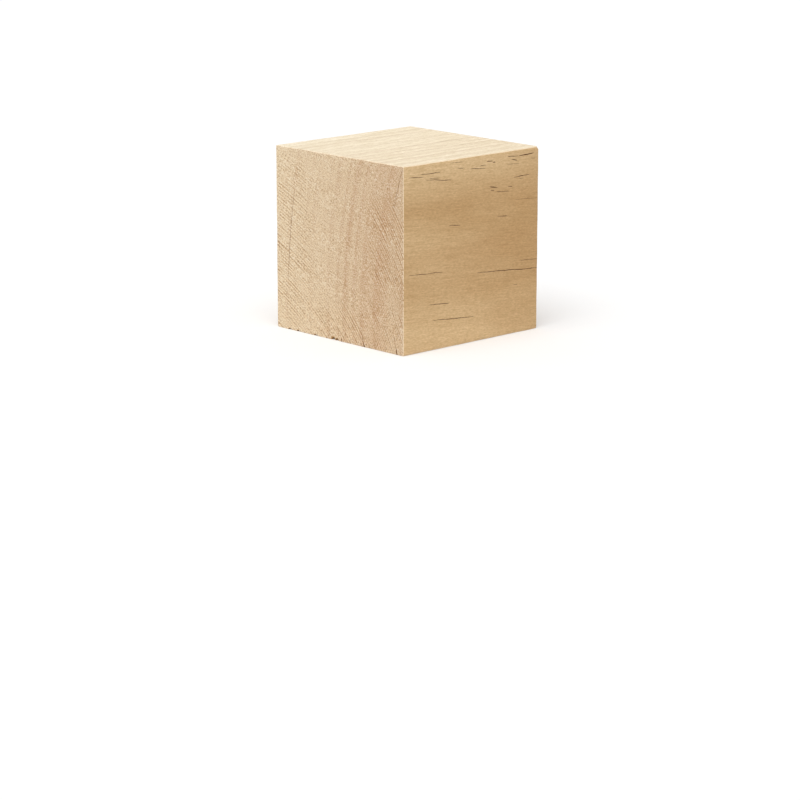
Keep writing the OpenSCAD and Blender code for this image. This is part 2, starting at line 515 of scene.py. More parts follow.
def sawn_pine(name, sap_and_sheen, heart_and_shade, late, low, high, dense_share, sheen_share, groove_dust_and_shade):
    """Sawn end grain. The colours low and high are those of the furred wood's pits and tops, and of
    the saw's grooves, as dust and painted shade, and its ridges, as a painted highlight.
    """
    material, tree = new_material(name)
    wood = add(tree, "ShaderNodeGroup", node_tree=figure)
    # The painted sheen along the upper and lower edges pulls the wood towards the sapwood colour
    edge = add(tree, "ShaderNodeMath", {
        0: wood.outputs["Sheen"], 1: -sheen_share, 2: 1.0}, operation="MULTIPLY_ADD")
    darkening = add(tree, "ShaderNodeMath", {
        0: wood.outputs["HeartAndShade"], 1: edge.outputs[0]}, operation="MULTIPLY")
    base = add(tree, "ShaderNodeMix", {
        "Factor": darkening.outputs[0], "A": linear(sap_and_sheen), "B": linear(heart_and_shade)}, data_type="RGBA")
    # The rings come and go under the fur, and show best in the older wood, which also carries the
    # painted shade
    patch = add(tree, "ShaderNodeMapRange", {
        "Value": wood.outputs["Cloud"], "From Min": 0.35, "From Max": 0.65,
        "To Min": RINGS_THROUGH_FUR[0], "To Max": RINGS_THROUGH_FUR[1]})
    ring = add(tree, "ShaderNodeMath", {
        0: wood.outputs["Latewood"], 1: patch.outputs[0]}, operation="MULTIPLY", use_clamp=True)
    older_and_shaded = add(tree, "ShaderNodeMapRange", {
        "Value": wood.outputs["HeartAndShade"], "From Min": 0.0, "From Max": 0.5,
        "To Min": RINGS_IN_SAPWOOD_AND_SHEEN, "To Max": 1.0})
    ring = add(tree, "ShaderNodeMath", {
        0: ring.outputs[0], 1: older_and_shaded.outputs[0]}, operation="MULTIPLY")
    ring = add(tree, "ShaderNodeMath", {
        0: wood.outputs["Dense"], 1: dense_share, 2: ring.outputs[0]},
        operation="MULTIPLY_ADD", use_clamp=True)
    ringed = add(tree, "ShaderNodeMix", {
        "Factor": ring.outputs[0], "A": base.outputs["Result"], "B": linear(late)},
        data_type="RGBA")
    # The tone of this place: the flecks, a little of the rays, less in a groove, as dust and painted
    # shade, more on a ridge, as a painted highlight
    place = add(tree, "ShaderNodeTexCoord")
    xyz = add(tree, "ShaderNodeSeparateXYZ", {0: place.outputs["Object"]})
    out = add(tree, "ShaderNodeMath", {0: xyz.outputs["X"]}, operation="ABSOLUTE")
    groove = add(tree, "ShaderNodeMapRange", {
        "Value": out.outputs[0], "From Min": (HALF - SAWN_DOWN) * MM,
        "From Max": (HALF - SAWN_DOWN - GROOVE_DEPTH) * MM, "To Min": 0.0,
        "To Max": groove_dust_and_shade}, clamp=False)
    groove = add(tree, "ShaderNodeMath", {
        0: groove.outputs[0], 1: groove_dust_and_shade}, operation="MINIMUM")
    ray = add(tree, "ShaderNodeMath", {
        0: wood.outputs["Ray"], 1: RAY_SWING, 2: -RAY_SWING / 2}, operation="MULTIPLY_ADD")
    tone = add(tree, "ShaderNodeMath", {
        0: wood.outputs["Fleck"], 1: ray.outputs[0]}, operation="ADD")
    tone = add(tree, "ShaderNodeMath", {
        0: tone.outputs[0], 1: groove.outputs[0]}, operation="SUBTRACT")
    dull = add(tree, "ShaderNodeMapRange", {
        "Value": tone.outputs[0], "From Min": PLAIN_TONE, "From Max": PIT_TONE,
        "To Min": 0.0, "To Max": PIT_SHARE})
    dulled = add(tree, "ShaderNodeMix", {
        "Factor": dull.outputs[0], "A": ringed.outputs["Result"], "B": linear(low)},
        data_type="RGBA")
    bright = add(tree, "ShaderNodeMapRange", {
        "Value": tone.outputs[0], "From Min": PLAIN_TONE, "From Max": TOP_TONE,
        "To Min": 0.0, "To Max": TOP_SHARE})
    colour = add(tree, "ShaderNodeMix", {
        "Factor": bright.outputs[0], "A": dulled.outputs["Result"], "B": linear(high)},
        data_type="RGBA")
    bump = add(tree, "ShaderNodeBump", {
        "Height": wood.outputs["Fleck"], "Strength": 1.0, "Distance": FURRED_RELIEF * MM})
    surface = add(tree, "ShaderNodeBsdfPrincipled", {
        "Base Color": colour.outputs["Result"], "Roughness": SAWN_ROUGHNESS, "IOR": PINE_IOR,
        "Normal": bump.outputs[0]})
    add(tree, "ShaderNodeOutputMaterial", {"Surface": surface.outputs[0]})
    return material


print(f"A groove {GROOVE_DEPTH:.2f} mm deep is as dark as grooves get")

# %% Make the sawn finish
# Pine crosscut by a circular saw: furred and matt, pinkish tan, with pale tops and brown pits,
# and the saw's grooves painted darker and its ridges painted paler
end_grain = sawn_pine(
    "sawn_end_grain_pine", sap_and_sheen="#f7dfb9", heart_and_shade="#c9a176", late="#c38e60",
    low="#a0744a", high="#fff3df", dense_share=0.45, sheen_share=0.35, groove_dust_and_shade=0.17)
print("Sawn finish:", end_grain.name)

# %% [markdown]
# ## Torn wood, splits and open canals
# Three small finishes go inside the hollows that come later. They are under a millimetre wide,
# so each needs little more than the right depth of colour. Torn wood shows long clean fibres and
# is a shade darker than the sawn face. Inside a split the light is lost, and warm brown is what
# comes back. A resin canal that the planer opened is coated with hardened resin, so it is the
# darkest and the least matt. All of them are broken up by the same flecks.

# %% Make the finishes for the hollows
# What the flecks make of the colour where they are darkest and lightest
DARKEST_FLECK, LIGHTEST_FLECK = 0.75, 1.2


def bare(name, colour, roughness):
    """Raw wood of one colour, made lighter and darker by the flecks."""
    material, tree = new_material(name)
    wood = add(tree, "ShaderNodeGroup", node_tree=figure)
    shade = add(tree, "ShaderNodeMapRange", {
        "Value": wood.outputs["Fleck"], "From Min": NOISE_LOW, "From Max": NOISE_HIGH,
        "To Min": DARKEST_FLECK, "To Max": LIGHTEST_FLECK})
    toned = add(tree, "ShaderNodeVectorMath", {
        0: linear(colour)[:3], 1: shade.outputs[0]}, operation="MULTIPLY")
    surface = add(tree, "ShaderNodeBsdfPrincipled", {
        "Base Color": toned.outputs[0], "Roughness": roughness, "IOR": PINE_IOR})
    add(tree, "ShaderNodeOutputMaterial", {"Surface": surface.outputs[0]})
    return material


# Pine torn along its fibres: clean and dull, and a shade darker than the sawn face
torn = bare("torn_pine_fibre", "#d8b07a", 0.9)
# Pine split open: a crack too narrow for much light, so a dull warm brown comes back
split = bare("split_open_pine", "#9a5c24", 0.9)
# Resin gone hard in an opened canal: a dark brown line with a faint sheen
resin = bare("open_resin_canal", "#6c4213", 0.6)
FINISHES = [flat_sawn, quarter_sawn, end_grain, rubbed_and_highlit, torn, split, resin]
FLAT_SAWN, QUARTER_SAWN, END_GRAIN, RUBBED_AND_HIGHLIT, TORN, SPLIT, RESIN = range(len(FINISHES))
print("All finishes:", ", ".join(material.name for material in FINISHES))

# %% [markdown]
# ## The planed block
# The block starts as a cube with every edge bevelled to a small radius. A machine would leave
# that radius even, but these arrises were eased by hand with a bit of abrasive, so each is
# fuller in one place than in another. A Bevel modifier can't vary its width without weights on
# many vertices. Cutting the block into thin slices gives the arrises points along their length
# instead, and each point's radius is then changed a little. Only the rounding moves: the planed
# faces stay flat.

# %% Make the block and slice it
# Radius of the arrises, and thickness of the slices, in mm
ARRIS = 0.4
ARRIS_STEPS = 3
SLICE = 1.25
# A vertex this near a cutting plane counts as on it, in mm
NEAR_PLANE = 1e-5
middle = Vector((0, 0, HALF))


def slice_through(shape, point, outwards, near=NEAR_PLANE, drop_outside=False):
    """Cuts a whole shape along a plane, and can drop what lies outside of it."""
    bmesh.ops.bisect_plane(
        shape, geom=shape.verts[:] + shape.edges[:] + shape.faces[:], dist=near,
        plane_co=point, plane_no=outwards, clear_outer=drop_outside)


block = bmesh.new()
bmesh.ops.create_cube(block, size=SIDE)
bmesh.ops.translate(block, verts=block.verts, vec=middle)
bmesh.ops.bevel(
    block, geom=block.edges[:], offset=ARRIS, offset_type="OFFSET", affect="EDGES",
    segments=ARRIS_STEPS, profile=0.5, material=-1)
for axis in range(3):
    for step in range(1, int(SIDE / SLICE)):
        at = middle.copy()
        at[axis] += step * SLICE - HALF
        slice_through(block, at, Vector((axis == 0, axis == 1, axis == 2)))
print(f"The sliced block has {len(block.faces)} faces")

# %% Wear the arrises
# How much fuller or sharper an arris gets, the mm over which that changes, and where in the
# noise the block lies
WEAR_SHARE = 0.45
WEAR_LENGTH = 6.0
WEAR_PLACE = Vector((7, 3, 11))
# A vertex this near the start of the rounding belongs to it, in mm
NEAR_ROUNDING = 1e-4


def wear(vertex):
    """Makes the arris round this vertex a little fuller or sharper, by a slow noise."""
    from_middle = vertex.co - middle
    start = HALF - ARRIS
    rounded = [i for i in range(3) if abs(from_middle[i]) > start - NEAR_ROUNDING]
    if len(rounded) < 2:
        return
    fuller = 1 + WEAR_SHARE * noise.noise(vertex.co / WEAR_LENGTH + WEAR_PLACE)
    for i in rounded:
        into = (abs(from_middle[i]) - start) / ARRIS
        reach = HALF - ARRIS * fuller + ARRIS * fuller * into
        from_middle[i] = math.copysign(reach, from_middle[i])
    vertex.co = middle + from_middle


for vertex in block.verts:
    wear(vertex)
print(f"The arrises are {ARRIS * (1 - WEAR_SHARE):.2f} to {ARRIS * (1 + WEAR_SHARE):.2f} mm round")

# %% [markdown]
# ## The bruised corner
# The block was dropped on one upper corner. The knock pressed the corner flat and burst the
# fibres there. A plane square to the corner's diagonal cuts it off, and the small triangle that
# fills the cut gets the torn finish.

# %% Knock the corner flat
# How far the flat reaches along each edge from the corner, in mm
BRUISE = 1.1
corner = Vector((HALF, -HALF, SIDE))
diagonal = Vector((1, -1, 1)).normalized()
slice_through(
    block, corner - diagonal * BRUISE / math.sqrt(3), diagonal, drop_outside=True)
rim = [edge for edge in block.edges if edge.is_boundary]
bruised = bmesh.ops.holes_fill(block, edges=rim)["faces"]
print(f"The bruise is {bruised[0].calc_area():.1f} mm2")

# %% [markdown]
# ## Which face gets which finish
# A face's largest normal component says how the plane or the saw met it. The abrasive only
# touched the very ridge of each arris, so only the strip in the middle of the rounding is
# rubbed pale, with a painted highlight, and the strips beside it keep the finish of the face that
# they run into.

# %% Give the finishes out
# A face turned more than this from square is rubbed and carries the painted highlight, and one
# this close to square is flat
RUBBED_AND_HIGHLIT_PAST = math.cos(math.radians(25))
FLAT_WITHIN = 0.9999
# The sawn ends stand this far past the box while the saw cuts them back, in mm
SAW_ALLOWANCE = 0.01
finish_across = (END_GRAIN, FLAT_SAWN, QUARTER_SAWN)
for face in block.faces:
    axis = max(range(3), key=lambda i: abs(face.normal[i]))
    squareness = abs(face.normal[axis])
    face.material_index = RUBBED_AND_HIGHLIT if squareness < RUBBED_AND_HIGHLIT_PAST else finish_across[axis]
    face.smooth = squareness < FLAT_WITHIN
for face in bruised:
    face.material_index = TORN
for vertex in block.verts:
    vertex.co.x *= 1 + SAW_ALLOWANCE / HALF
rubbed_and_highlit_faces = sum(1 for face in block.faces if face.material_index == RUBBED_AND_HIGHLIT)
print(f"{rubbed_and_highlit_faces} of the block's {len(block.faces)} faces are rubbed")

# %% [markdown]
# ## The saw's path
# A circular blade leaves arcs: each is a stretch of its rim, and the next is a feed step further
# on. Bump alone would stay flat against the light at the edge of the face, so the marks are real
# geometry, made the way the saw made them. One arc of the rim is spun from a single point,
# extruded along the feed into a sheet, and divided into rows, five to a mark. The first row of a
# mark is left standing as a ridge, and the next ones sink by a tenth of a millimetre or so.
# The sheet is thickened outwards into the slice of wood that went to dust, and that slice is cut
# from the block.

# %% Name the blade, the feed and the mark
BLADE_RADIUS = 82.5
# How far the feed leans from straight down, and how far it goes from mark to mark, in mm
FEED_TILT = math.radians(19)
FEED_STEP = 0.90
# How far along the feed the blade's centre is from the block's upper corner at the first mark
# and at the last, and how far to the side, in mm
FIRST_TOUCH, LAST_TOUCH = 50.0, 131.0
CENTRE_ASIDE = 1.0
# The stretch of the rim that meets the face, and the number of its steps
RIM_START, RIM_END, RIM_STEPS = math.radians(-3), math.radians(53), 90
# Rows of one mark: how far along the feed step, and how deep as a share of the mark
MARK = [(0.0, -0.4), (0.25, 0.0), (0.48, 0.6), (0.64, 1.0), (0.8, 0.35)]
MARK_DEPTH = 0.175
# Each step of the feed and each depth is a little different, by these shares
FEED_VARIES = (0.8, 1.2)
DEPTH_VARIES = (0.5, 1.0)
SAW_SEED = 40
# How far the slice reaches past the end of the stick, and past its sides, in mm
KERF = 2.0
OVERHANG = 1.5
# A vertex of the sheet this near the plane that trims it counts as on it, in mm
NEAR_SHEET = 1e-6

feed = Vector((0, math.sin(FEED_TILT), -math.cos(FEED_TILT)))
sideways = Vector((0, -math.cos(FEED_TILT), -math.sin(FEED_TILT)))
print(f"The blade makes a mark every {FEED_STEP:.2f} mm, up to {MARK_DEPTH:.3f} mm deep")

# %% Say where the blade marks the wood
# A blade wobbles, so its marks are faint but for three places. Each pair in brackets is a start
# and an end, as a share of the way across the face from its left or as a height in mm
FAINTEST = 0.2
# Strong where the blade came in, less so at the top, and fading over the first half of the face
ENTRY_STRENGTH = 0.95
ENTRY_FADES = (0.12, 0.44)
ENTRY_AT_TOP, ENTRY_GROWS_OVER = 0.25, 12
# Strong again where it left, below the upper corner
EXIT_GROWS = (0.68, 0.80)
EXIT_HEIGHTS = (44, 36)
# And strong near the bottom, where the last of the wood was thin and sprang
BOTTOM_HEIGHTS = (14, 6)
BOTTOM_AT_LEFT = 0.4
# A noise breaks the marks up over this many mm. Two marks lie far enough apart in it for each
# to break in its own places
BREAK_LENGTH = 1.6
NEXT_IN_NOISE = 1.7
BREAK_PLACE = 3.0
# How much of a mark is left where the noise is 0, and how much the noise adds or takes away
UNBROKEN, BREAK_STRENGTH = 0.6, 1.8


def share_of(value, start, end):
    """How far a value has gone from start to end, held between 0 and 1."""
    return min(1, max(0, (value - start) / (end - start)))


def mark_strength(point, mark):
    """How strongly one mark shows at a place."""
    across = (HALF - point.y) / SIDE
    entry = (ENTRY_STRENGTH * (1 - share_of(across, *ENTRY_FADES))
             * min(1, ENTRY_AT_TOP + (SIDE - point.z) / ENTRY_GROWS_OVER))
    leaving = share_of(across, *EXIT_GROWS) * share_of(point.z, *EXIT_HEIGHTS)
    bottom = share_of(point.z, *BOTTOM_HEIGHTS) * min(1, BOTTOM_AT_LEFT + across)
    broken = noise.noise(Vector((
        mark * NEXT_IN_NOISE, (point.y - point.z) / BREAK_LENGTH, BREAK_PLACE)))
    whole = share_of(UNBROKEN + BREAK_STRENGTH * broken, 0, 1)
    return max(FAINTEST, entry, leaving, bottom) * whole


print(f"In the middle of the face: {mark_strength(Vector((-HALF, 0, HALF)), 1):.2f}")


# %% Draw the rim along the feed
def rim_sheet(end):
    """The rim's arc, drawn along the feed: one row of vertices for each row of each mark."""
    shape = bmesh.new()
    upper_corner = Vector((end * (HALF - SAWN_DOWN), HALF, SIDE))
    start = upper_corner + sideways * CENTRE_ASIDE + feed * FIRST_TOUCH
    rim_point = math.sin(RIM_START) * sideways - math.cos(RIM_START) * feed
    first = shape.verts.new(start + BLADE_RADIUS * rim_point)
    bmesh.ops.spin(
        shape, geom=[first], cent=start, axis=(1, 0, 0), dvec=(0, 0, 0),
        angle=RIM_END - RIM_START, steps=RIM_STEPS, use_merge=False, use_duplicate=False)
    marks = round((LAST_TOUCH - FIRST_TOUCH) / FEED_STEP)
    grown = bmesh.ops.extrude_edge_only(shape, edges=shape.edges[:])["geom"]
    far = [g for g in grown if isinstance(g, bmesh.types.BMVert)]
    bmesh.ops.translate(shape, verts=far, vec=feed * FEED_STEP * marks)
    lengthwise = [e for e in shape.edges if (e.verts[0] in far) != (e.verts[1] in far)]
    bmesh.ops.subdivide_edges(
        shape, edges=lengthwise, cuts=marks * len(MARK) - 1, use_grid_fill=True)
    return shape, start, marks


arc_step = BLADE_RADIUS * (RIM_END - RIM_START) / RIM_STEPS
print(f"The rim has a vertex every {arc_step:.2f} mm, and a mark has {len(MARK)} rows of them")


# %% Press the marks into the sheet
def press_marks(shape, start, marks, end):
    """Moves each row to its own mark, and sinks it as deep as the blade bit there."""
    chance = random.Random(SAW_SEED + end)
    begins, bites = [0.0], []
    for mark in range(marks):
        begins.append(begins[-1] + FEED_STEP * chance.uniform(*FEED_VARIES))
        bites.append(MARK_DEPTH * chance.uniform(*DEPTH_VARIES))
    for vertex in shape.verts:
        sideways_off = (vertex.co - start).dot(sideways)
        travel = (vertex.co - start).dot(feed) + math.sqrt(BLADE_RADIUS ** 2 - sideways_off ** 2)
        mark, row = divmod(round(travel / FEED_STEP * len(MARK)), len(MARK))
        if mark < marks:
            share, depth = MARK[row]
            begin, end_of_mark = begins[mark], begins[mark + 1]
            vertex.co += feed * (begin + (end_of_mark - begin) * share - travel)
            depth *= bites[mark] * mark_strength(vertex.co, mark)
            vertex.co.x = end * (HALF - SAWN_DOWN - depth)


print(f"The depths are {MARK_DEPTH * DEPTH_VARIES[0]:.3f} to {MARK_DEPTH * DEPTH_VARIES[1]:.3f} mm")


# %% Make the slice that the blade turned to dust
def kerf(end):
    """The slice cut away at one end of the stick: end is -1 for -X and +1 for +X."""
    shape, start, marks = rim_sheet(end)
    press_marks(shape, start, marks, end)
    for axis in (1, 2):
        for sign in (-1, 1):
            at = middle.copy()
            at[axis] += sign * (HALF + OVERHANG)
            outwards = Vector((0, sign * (axis == 1), sign * (axis == 2)))
            slice_through(shape, at, outwards, near=NEAR_SHEET, drop_outside=True)
    thick = bmesh.ops.extrude_face_region(shape, geom=shape.faces[:], use_keep_orig=True)["geom"]
    for vertex in thick:
        if isinstance(vertex, bmesh.types.BMVert):
            vertex.co.x = end * (HALF + KERF)
    bmesh.ops.recalc_face_normals(shape, faces=shape.faces[:])
    for face in shape.faces:
        face.material_index = END_GRAIN
        face.smooth = True
    return shape


kerf_low, kerf_high = kerf(-1), kerf(1)
print(f"Each kerf has about {len(kerf_low.faces)} faces")

# %% [markdown]
# ## A plough for every hollow
# Chips, splits, ring checks and resin canals are all small hollows that follow a line: a chip
# runs along the edge, a split climbs from it, a check follows a ring and a canal follows the
# grain. Each could be sculpted, but one tool makes them all. It draws an outline from station to
# station, as a plough draws its share, and each station sets the width and the depth there. The
# result is a closed solid that stands half out of the wood, ready to be cut from the block.

# %% Build the plough
DIAMOND = [(1, 0), (0, 1), (-1, 0), (0, -1)]
# The hexagon stands on a corner, so its upright sides meet the planed face. A corner in the very
# plane of a face is what a Boolean cuts worst
HEXAGON = [(math.sin(i * math.pi / 3), math.cos(i * math.pi / 3)) for i in range(6)]
# A hollow never shrinks past this share of its size, so that it stays a closed solid
NARROWEST = 0.04
damage = bmesh.new()


def plough(outline, stations, finish):
    """Extrudes an outline from station to station. Each is a matrix that places and sizes it."""
    corners = [damage.verts.new(stations[0] @ Vector((x, y, 0))) for x, y in outline]
    cap = damage.faces.new(corners)
    made = set(corners)
    for before, after in zip(stations, stations[1:]):
        behind = cap
        grown = bmesh.ops.extrude_face_region(damage, geom=[cap])["geom"]
        cap = next(g for g in grown if isinstance(g, bmesh.types.BMFace))
        bmesh.ops.transform(damage, verts=cap.verts[:], matrix=after @ before.inverted())
        # A cap between the ends would be an inner wall, so only the first and the last stay
        if behind.is_valid and before is not stations[0]:
            bmesh.ops.delete(damage, geom=[behind], context="FACES_ONLY")
        made.update(cap.verts)
    for face in {face for vertex in made for face in vertex.link_faces}:
        face.material_index = finish
        face.smooth = False


def station(centre, width_way, depth_way, width, depth):
    """A place on a surface: the outline's x goes across the hollow and its y into the wood."""
    along = width_way.cross(depth_way)
    turn = Matrix((width_way * width / 2, depth_way * depth, along)).transposed()
    return Matrix.Translation(centre) @ turn.to_4x4()


def groove(outline, points, outward, width, depth, taper, finish):
    """A hollow along a line of points on a face. taper gives its size at each share of the way."""
    last = len(points) - 1
    stations = []
    for i, point in enumerate(points):
        along = (points[min(i + 1, last)] - points[max(i - 1, 0)]).normalized()
        size = max(NARROWEST, taper(i / last))
        stations.append(station(
            point, along.cross(outward), -outward, width * size, depth * size))
    plough(outline, stations, finish)


print(f"The plough draws outlines of {len(DIAMOND)} and {len(HEXAGON)} corners")

# %% [markdown]
# ## The torn edge
# At the bottom of the face the teeth came out of the wood with nothing behind it, and lifted
# small chips. A chip is steep where the tooth caught the fibres and feathers out along them.
# Its outline is that profile, ploughed along the edge, with each row a little taller or
# shallower than the last, because fibres break one bundle at a time.

# %% Tear the chips
CHIP_W, CHIP_H, CHIP_RUN = 1.8, 1.2, 3.0
# Place across the face from its middle, lean, then width, height and run as shares of those
CHIPS = [
    (0.40, 8, 0.75, 0.50, 0.55), (0.33, -12, 0.60, 0.60, 0.70), (0.275, 15, 0.30, 0.35, 0.40),
    (0.185, -6, 1.00, 0.40, 0.60), (0.10, 10, 0.45, 0.25, 0.35), (0.05, -4, 0.80, 1.00, 1.00),
    (0.018, 6, 0.70, 0.85, 0.80), (-0.07, -9, 0.40, 0.20, 0.30),
]
CHIP_OUTLINE = [(-1, -1), (-1, 1), (0, 1), (0.35, 0.55), (1, 0), (1, -1)]
# A row for each bundle of fibres, this wide in mm
FIBRE_BUNDLE = 0.2
FEWEST_ROWS = 4
# A chip is this full at its ends and rounder in between, and no two rows are the same size
ENDS_FULL, ROUNDNESS = 0.35, 0.96
HEIGHT_VARIES = (0.75, 1.1)
RUN_VARIES = (0.8, 1.1)
chance = random.Random(8)
for place_share, lean, width, height, run in CHIPS:
    width, height, run = width * CHIP_W, height * CHIP_H, run * CHIP_RUN
    turn = Matrix.Rotation(math.radians(-lean), 4, "X")
    stations = []
    rows = max(FEWEST_ROWS, round(width / FIBRE_BUNDLE))
    for i in range(rows + 1):
        off = 2 * i / rows - 1
        full = ENDS_FULL + (1 - ENDS_FULL) * math.sqrt(1 - off * off * ROUNDNESS)
        tall = height * full * chance.uniform(*HEIGHT_VARIES)
        deep = run * full * chance.uniform(*RUN_VARIES)
        size = Matrix(((deep, 0, 0), (0, 0, -1), (0, tall, 0))).to_4x4()
        stations.append(
            Matrix.Translation((-HALF, place_share * SIDE, 0)) @ turn
            @ Matrix.Translation((0, off * width / 2, 0)) @ size)
    plough(CHIP_OUTLINE, stations, TORN)
print(f"{len(CHIPS)} chips")

# %% [markdown]
# ## Splits and ring checks
# Under the same load the wood split upwards from the edge in four places. A split is open at
# the edge, closes up the face, and runs on as a hairline. A check is a crack of another kind: it
# opens as wood dries, between one ring and the next, so its line is worked out from the same
# pith as the rings. The diamond's corners lie in the plane of the stick's end, and the saw has
# already taken that plane away, so here they do no harm.

# %% Split the edge
SPLIT_W, SPLIT_H, SPLIT_RUN, SPLIT_LEAN = 0.45, 4.0, 3.0, 14.0
# Place across the face from its middle, then lean, width, height and run as shares of those
SPLITS = [
    (-0.022, 1.1, 0.90, 0.45, 0.60), (-0.198, 1.0, 1.00, 0.80, 1.00),
    (-0.287, 1.2, 0.50, 0.40, 0.50), (-0.452, 1.0, 0.90, 1.00, 0.90),
]
# With its hairline a split is this many times as tall, and the hairline is this share as wide
HAIRLINE = 1.7
HAIRLINE_WIDTH = 0.42
# A power above 1 closes a split fast at first. Its line strays by this many mm
CLOSING = 1.5
SPLIT_STRAYS = 0.05
# How far below the edge its cutter starts, in mm
BELOW_EDGE = 1.0
SPLIT_STEPS = 12
sawn_face_outward = Vector((-1, 0, 0))


def split_taper(t):
    """Open at the edge, closing up the face, then a hairline past the open part."""
    up = HAIRLINE * ((SPLIT_STEPS + 1) * t - 1) / SPLIT_STEPS
    return min(1.0, max(max(0, 1 - up) ** CLOSING, HAIRLINE_WIDTH * (1 - up / HAIRLINE)))


for place_share, lean, width, height, run in SPLITS:
    slope = math.tan(math.radians(lean * SPLIT_LEAN))
    tall = HAIRLINE * height * SPLIT_H
    points = []
    for up in [-BELOW_EDGE] + [tall * i / SPLIT_STEPS for i in range(SPLIT_STEPS + 1)]:
        y = place_share * SIDE + slope * up + chance.uniform(-SPLIT_STRAYS, SPLIT_STRAYS)
        points.append(Vector((-HALF, y, up)))
    groove(
        DIAMOND, points, sawn_face_outward, width * SPLIT_W, run * SPLIT_RUN, split_taper, SPLIT)
print(f"{len(SPLITS)} splits")

# %% Open the checks along two rings
# Distance from the pith, the heights it runs between, where it is widest as a share of the way
# down, then width and depth
CHECKS = [(165.4, 40.0, 13.5, 0.5, 0.17, 0.5), (127.4, 49.0, 38.5, 0.1, 0.17, 0.4)]
CHECK_STEPS = 18
# How far a check strays from its ring, in mm, how bluntly it ends, where 1 is a plain wedge, and
# how much its size varies
CHECK_STRAYS = 0.06
CHECK_BLUNTNESS = 0.2
CHECK_VARIES = (0.7, 1.0)
pith_up = PITH_Z + HALF * math.sin(GRAIN_DIP)
pith_aside = PITH_Y + HALF * math.sin(GRAIN_YAW)
for ring_radius, top, bottom, widest, width, depth in CHECKS:
    points = []
    for i in range(CHECK_STEPS + 1):
        up = top + (bottom - top) * i / CHECK_STEPS
        reach = math.sqrt(ring_radius ** 2 - (up - pith_up) ** 2)
        y = pith_aside + reach + chance.uniform(-CHECK_STRAYS, CHECK_STRAYS)
        points.append(Vector((-HALF, y, up)))
    groove(
        DIAMOND, points, sawn_face_outward, width, depth,
        lambda t: ((1 - abs(t - widest) / (1 - widest)) ** CHECK_BLUNTNESS
                   * chance.uniform(*CHECK_VARIES)), SPLIT)
print(f"{len(CHECKS)} ring checks")

# %% [markdown]
# ## Resin canals
# Pine carries its resin in canals along the grain, 0.1 to 0.3 mm wide, so most of these are
# drawn at their real size, and a few that stand out are a little wider. Where the planer cut one
# lengthwise it left a fine brown line, a few millimetres long, because the canal dips through
# the surface with the grain. They lie thickest near the top of the face. Each is a thin tube,
# widest in the middle and never quite straight.

# %% Place the canals of the face at -Y
# X and Z where each canal starts, X and Z where it ends, and its width, in mm
CANALS = [
    (-23.1, 46.9, -17.6, 46.5, 0.20), (-18.9, 47.3, -11.5, 47.1, 0.25),
    (-17.2, 45.7, -7.4, 44.6, 0.24), (-8.3, 49.1, -3.3, 48.9, 0.14),
    (-5.6, 47.4, -2.6, 47.2, 0.16), (-15.8, 45.9, -11.9, 45.6, 0.18),
    (-1.1, 46.7, 5.0, 46.3, 0.24), (2.2, 47.2, 5.3, 47.1, 0.18),
    (5.3, 48.1, 7.6, 47.9, 0.42), (7.4, 47.6, 8.6, 47.5, 0.34),
    (13.0, 48.5, 17.4, 48.2, 0.32), (17.2, 48.2, 23.2, 48.4, 0.40),
    (14.5, 47.6, 16.8, 47.1, 0.28), (21.7, 47.1, 23.9, 47.0, 0.18),
    (12.8, 46.4, 17.8, 46.1, 0.14), (15.3, 42.6, 21.7, 42.8, 0.28),
    (17.2, 42.1, 19.4, 42.0, 0.16), (6.4, 41.1, 9.6, 40.5, 0.36),
    (6.7, 40.1, 8.3, 39.9, 0.24), (8.9, 39.5, 13.9, 39.2, 0.22),
    (13.3, 40.5, 15.0, 40.3, 0.26), (15.6, 36.6, 24.7, 36.1, 0.12),
    (-8.7, 32.6, -4.2, 32.2, 0.24), (9.2, 32.9, 13.5, 32.5, 0.24),
    (-23.3, 21.2, -10.6, 20.6, 0.22), (1.7, 18.6, 25.6, 16.8, 0.30),
    (17.8, 19.8, 25.6, 19.3, 0.16), (-15.9, 12.5, -8.3, 11.8, 0.24),
    (-14.5, 8.1, 1.0, 6.9, 0.25), (15.6, 13.4, 17.2, 13.2, 0.14),
]
# Depth as a share of the width
CANAL_DEPTH = 0.45
# How far a canal strays, the mm over which it does, and the distance between its stations
CANAL_WAVE, CANAL_WAVE_LENGTH = 0.12, 3.0
CANAL_STEP = 0.6
FEWEST_STEPS = 5
# How bluntly it ends, where 1 is a long slow point, and how much its size varies
CANAL_BLUNTNESS = 0.3
CANAL_VARIES = (0.5, 1.0)


def canal(start, end, outward, width):
    """One resin canal: a fine tube, sliced open where it meets the face."""
    chance = random.Random(f"{start.x:.1f} {start.y:.1f} {start.z:.1f}")
    steps = max(FEWEST_STEPS, round((end - start).length / CANAL_STEP))
    up = outward.cross((end - start).normalized())
    points = []
    for i in range(steps + 1):
        point = start.lerp(end, i / steps)
        points.append(point + up * CANAL_WAVE * noise.noise(point / CANAL_WAVE_LENGTH))
    groove(
        HEXAGON, points, outward, width, width * CANAL_DEPTH,
        lambda t: (math.sin(math.pi * min(1, max(0, t))) ** CANAL_BLUNTNESS
                   * chance.uniform(*CANAL_VARIES)), RESIN)


for x0, z0, x1, z1, width in CANALS:
    canal(Vector((x0, -HALF, z0)), Vector((x1, -HALF, z1)), Vector((0, -1, 0)), width)
print(f"{len(CANALS)} canals on the -Y face")

# %% Scatter the canals of the faces at +Y and below
# How many, the way out of the face, a point on it, the way the canals stack and their lowest place
SCATTERED = [
    (16, Vector((0, 1, 0)), Vector((0, HALF, 0)), Vector((0, 0, 1)), 0.0),
    (9, Vector((0, 0, -1)), Vector((0, 0, 0)), Vector((0, 1, 0)), -HALF),
]
# Each canal keeps near the middle of its own strip, clear of the ends, and runs for this many mm
IN_STRIP = (0.2, 0.8)
CLEAR_OF_END = 1
RUNS = (1.5, 8)
WIDTHS = (0.12, 0.28)
